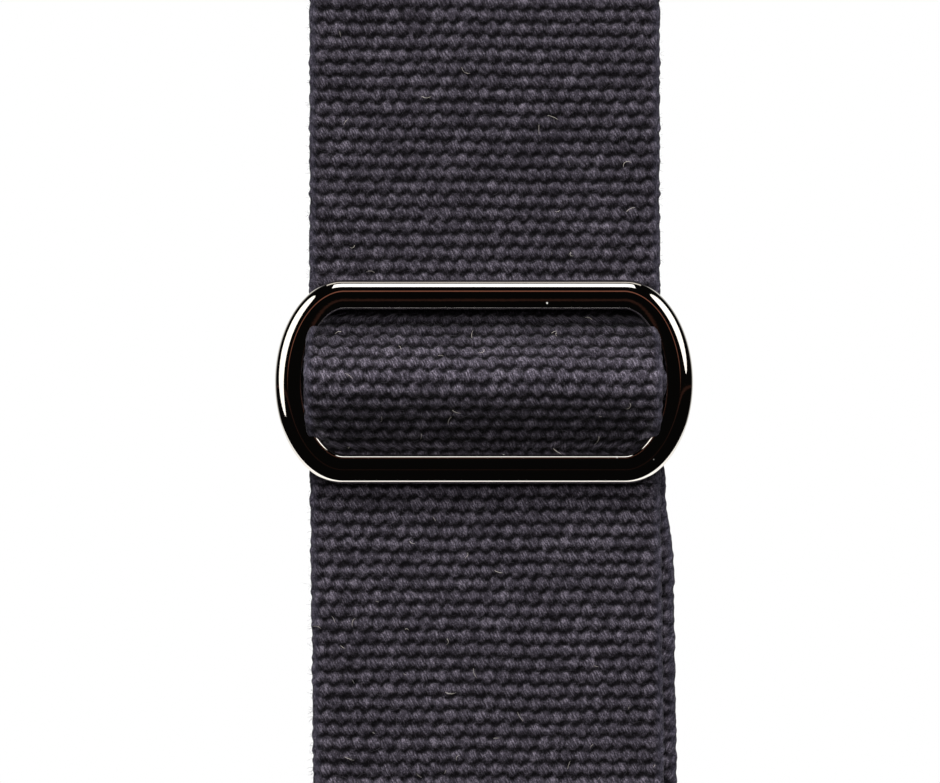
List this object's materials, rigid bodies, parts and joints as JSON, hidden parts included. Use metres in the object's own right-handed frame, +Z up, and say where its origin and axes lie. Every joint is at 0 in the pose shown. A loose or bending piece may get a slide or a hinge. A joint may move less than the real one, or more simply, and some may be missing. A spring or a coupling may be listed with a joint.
{
  "type": "guitar strap",
  "caption": "Cotton webbing guitar strap with a metal three-bar slider, tail ring and leather ends with button holes, hung folded over.",
  "frame": {"origin": "centre of the button hole in the front leather tab, midway through the leather", "axes": "+Z up along the hanging strap, -Y out of the strap's face at the slider, +X across the webbing"},
  "size_m": [0.0598, 0.0645, 0.6391],
  "materials": {
    "webbing": "matt woven cotton",
    "black_nickel": "polished black nickel plate",
    "leather": "semi-matt grained leather",
    "thread": "waxed thread"
  },
  "bodies": {
    "hung_webbing": {"webbing_back_run": "webbing", "webbing_upper_run": "webbing", "webbing_front_run": "webbing"},
    "front_tab": {"webbing_front_end": "webbing", "front_tab_face": "leather", "front_tab_backing": "leather", "front_tab_edge_stitching": "thread", "front_tab_box_stitching": "thread"},
    "adjuster": {"slider_frame": "black_nickel", "slider_bar": "black_nickel", "webbing_over_bar": "webbing", "webbing_bar_loop": "webbing", "webbing_return_run": "webbing", "bar_loop_stitching": "thread"},
    "ring_turn": {"webbing_ring_turn": "webbing"},
    "tail_ring": {"tail_ring": "black_nickel"},
    "tail_tab": {"tail_tab_leather": "leather", "tail_tab_stitching": "thread"}
  },
  "joints": [
    {"name": "slider_slide", "type": "slide", "parent": "hung_webbing", "child": "adjuster", "axis": [0, 0, 1], "range_m": [-0.24, 0], "deforming": ["webbing_upper_run", "webbing_front_run", "webbing_return_run"]},
    {"name": "ring_slide", "type": "slide", "parent": "hung_webbing", "child": "ring_turn", "axis": [0, 0, 1], "range_m": [-0.12, 0]},
    {"name": "ring_swing", "type": "hinge", "parent": "ring_turn", "child": "tail_ring", "pos_m": [0, -0.0512, 0.15918], "axis": [1, 0, 0], "range_deg": [-80, 8]},
    {"name": "tail_tab_swing", "type": "hinge", "parent": "tail_ring", "child": "tail_tab", "pos_m": [0, -0.0512, 0.14358], "axis": [1, 0, 0], "range_deg": [-90, 12]},
    {"name": "front_tab_tilt", "type": "hinge", "parent": "hung_webbing", "child": "front_tab", "pos_m": [0, 0.0009, 0.081], "axis": [1, 0, 0], "range_deg": [-10, 80]}
  ],
  "couplings": [
    {"joint": "ring_slide", "follows": "slider_slide", "ratio": 0.5}
  ]
}
